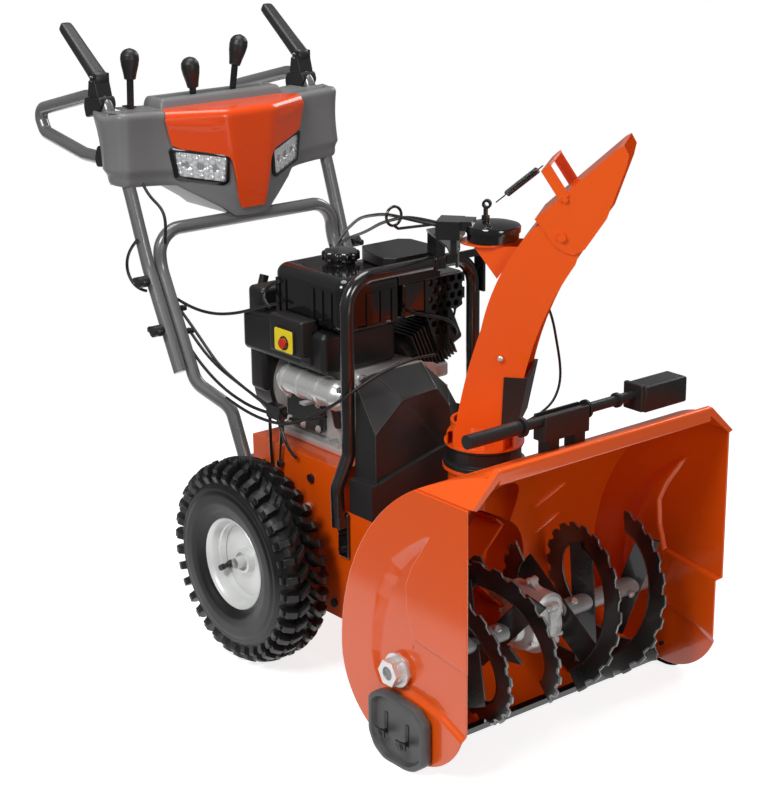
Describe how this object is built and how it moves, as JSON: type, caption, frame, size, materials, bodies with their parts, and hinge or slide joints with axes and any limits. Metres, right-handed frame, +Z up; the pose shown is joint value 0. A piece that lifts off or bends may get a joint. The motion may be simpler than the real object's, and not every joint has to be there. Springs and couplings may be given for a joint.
{
  "type": "snow blower",
  "caption": "Walk-behind petrol snow blower: auger housing, turning chute with a tilting hood, engine, lugged tyres and loop handles with a lamp console.",
  "frame": {"origin": "middle of the whole machine on the ground", "axes": "+Z up; the mouth faces -Y and the handles reach to +Y; +X is on the right of someone who faces the mouth"},
  "size_m": [0.67, 1.3976, 1.142],
  "materials": {
    "orange_steel": "gloss",
    "black_steel": "gloss",
    "auger_steel": "satin",
    "grey_tube": "satin",
    "silver_paint": "satin",
    "dark_plastic": "satin",
    "black_plastic": "satin",
    "orange_plastic": "gloss",
    "red_plastic": "gloss",
    "clear_lens": "clear",
    "cast_aluminium": "cast",
    "black_aluminium": "painted",
    "bright_steel": "satin",
    "rubber": "matt",
    "tyre_rubber": "matt"
  },
  "bodies": {
    "chassis": {"housing_shell": "orange_steel", "side_panel_left": "orange_steel", "side_panel_right": "orange_steel", "impeller_drum": "orange_steel", "chassis_box": "orange_steel", "scraper_bar": "black_steel", "guard_hoop": "black_steel", "muffler_guard": "black_steel", "chute_head": "black_steel", "lower_handle": "grey_tube", "handle_tube_left": "grey_tube", "handle_tube_right": "grey_tube", "console_shell": "dark_plastic", "belt_cover": "dark_plastic", "chute_collar": "dark_plastic", "fan_shroud": "black_plastic", "fuel_tank": "black_plastic", "intake_cover": "black_plastic", "switch_box": "black_plastic", "tool_clip": "black_plastic", "console_panel": "orange_plastic", "headlamps": "clear_lens", "auger_gearbox": "cast_aluminium", "crankcase": "cast_aluminium", "starter_motor": "cast_aluminium", "cylinder": "black_aluminium", "bearings": "bright_steel", "muffler": "bright_steel", "fasteners": "bright_steel", "belts_and_chain": "rubber", "control_cables": "rubber"},
    "wheels": {"axle": "bright_steel", "rim_left": "silver_paint", "rim_right": "silver_paint", "tyre_left": "tyre_rubber", "tyre_right": "tyre_rubber"},
    "auger_rotor": {"auger_shaft": "bright_steel", "auger_flight_left": "auger_steel", "auger_flight_right": "auger_steel"},
    "impeller_rotor": {"impeller_shaft": "bright_steel", "impeller": "orange_steel"},
    "crank": {"crankshaft": "bright_steel"},
    "drive_disc": {"friction_disc": "bright_steel"},
    "drive_shaft": {"friction_wheel": "bright_steel"},
    "chute": {"chute": "orange_steel", "chute_flap": "rubber", "deflector_spring": "bright_steel"},
    "hood": {"deflector": "orange_steel"},
    "chute_knob": {"chute_lever": "black_plastic"},
    "speed_knob": {"speed_lever": "black_plastic"},
    "hood_knob": {"deflector_lever": "black_plastic"},
    "paddle_left": {"engagement_lever_left": "black_plastic"},
    "paddle_right": {"engagement_lever_right": "black_plastic"},
    "shoe_left": {"skid_shoe_left": "dark_plastic"},
    "shoe_right": {"skid_shoe_right": "dark_plastic"},
    "tool": {"cleaning_tool": "black_plastic"},
    "cap": {"fuel_cap": "black_plastic"},
    "pull_grip": {"recoil_grip": "rubber"},
    "button": {"start_button": "red_plastic"}
  },
  "joints": [
    {"name": "wheel_turn", "type": "hinge", "parent": "chassis", "child": "wheels", "pos_m": [0, -0.01965, 0.195], "axis": [1, 0, 0], "continuous": true},
    {"name": "drive_shaft_turn", "type": "hinge", "parent": "chassis", "child": "drive_shaft", "pos_m": [0, -0.09565, 0.3], "axis": [1, 0, 0], "continuous": true},
    {"name": "auger_turn", "type": "hinge", "parent": "chassis", "child": "auger_rotor", "pos_m": [0, -0.51665, 0.165], "axis": [1, 0, 0], "continuous": true},
    {"name": "impeller_turn", "type": "hinge", "parent": "chassis", "child": "impeller_rotor", "pos_m": [0, -0.31965, 0.201], "axis": [0, 1, 0], "continuous": true},
    {"name": "crank_turn", "type": "hinge", "parent": "chassis", "child": "crank", "pos_m": [-0.05, -0.01965, 0.49], "axis": [0, 1, 0], "continuous": true},
    {"name": "drive_disc_turn", "type": "hinge", "parent": "chassis", "child": "drive_disc", "pos_m": [0, -0.16965, 0.3], "axis": [0, 1, 0], "continuous": true},
    {"name": "chute_turn", "type": "hinge", "parent": "chassis", "child": "chute", "pos_m": [0, -0.39065, 0.47], "axis": [0, 0, 1], "range_deg": [-116, 44]},
    {"name": "hood_tilt", "type": "hinge", "parent": "chute", "child": "hood", "pos_m": [0.0862, -0.50095, 0.856], "axis": [0.788, 0.6157, 0], "range_deg": [0, 55], "stiffness_Nm_per_rad": 1.2, "springref_deg": -51.57, "deforming": ["deflector_spring"]},
    {"name": "chute_knob_tilt", "type": "hinge", "parent": "chassis", "child": "chute_knob", "pos_m": [-0.196, 0.42035, 0.905], "axis": [1, 0, 0], "range_deg": [-12.5, 5]},
    {"name": "speed_knob_tilt", "type": "hinge", "parent": "chassis", "child": "speed_knob", "pos_m": [-0.05, 0.42035, 0.905], "axis": [1, 0, 0], "range_deg": [-14, 14]},
    {"name": "hood_knob_tilt", "type": "hinge", "parent": "chassis", "child": "hood_knob", "pos_m": [0.03, 0.42035, 0.905], "axis": [1, 0, 0], "range_deg": [0, 14]},
    {"name": "paddle_left_squeeze", "type": "hinge", "parent": "chassis", "child": "paddle_left", "pos_m": [-0.242, 0.45035, 1.04], "axis": [-1, 0, 0], "range_deg": [0, 48], "stiffness_Nm_per_rad": 1.5, "springref_deg": -34.38},
    {"name": "paddle_right_squeeze", "type": "hinge", "parent": "chassis", "child": "paddle_right", "pos_m": [0.242, 0.45035, 1.04], "axis": [-1, 0, 0], "range_deg": [0, 48], "stiffness_Nm_per_rad": 1.5, "springref_deg": -34.38},
    {"name": "shoe_left_adjust", "type": "slide", "parent": "chassis", "child": "shoe_left", "axis": [0, 0, -1], "range_m": [0, 0.025]},
    {"name": "shoe_right_adjust", "type": "slide", "parent": "chassis", "child": "shoe_right", "axis": [0, 0, -1], "range_m": [0, 0.025]},
    {"name": "tool_lift", "type": "slide", "parent": "chassis", "child": "tool", "axis": [0, 0, 1], "range_m": [0, 0.08]},
    {"name": "cap_turn", "type": "hinge", "parent": "chassis", "child": "cap", "pos_m": [-0.062, -0.06565, 0.749], "axis": [0, 0, 1], "range_deg": [0, 90]},
    {"name": "pull_start", "type": "slide", "parent": "chassis", "child": "pull_grip", "axis": [0, 1, 0], "range_m": [0, 0.25], "stiffness_N_per_m": 30, "springref_m": -0.1},
    {"name": "button_press", "type": "slide", "parent": "chassis", "child": "button", "axis": [1, 0, 0], "range_m": [0, 0.003], "stiffness_N_per_m": 400, "springref_m": -0.004}
  ],
  "couplings": [
    {"joint": "drive_shaft_turn", "follows": "wheel_turn", "ratio": 3.3333},
    {"joint": "impeller_turn", "follows": "auger_turn", "ratio": 10},
    {"joint": "chute_knob_tilt", "follows": "chute_turn", "ratio": 0.104},
    {"joint": "hood_knob_tilt", "follows": "hood_tilt", "ratio": 0.25}
  ]
}
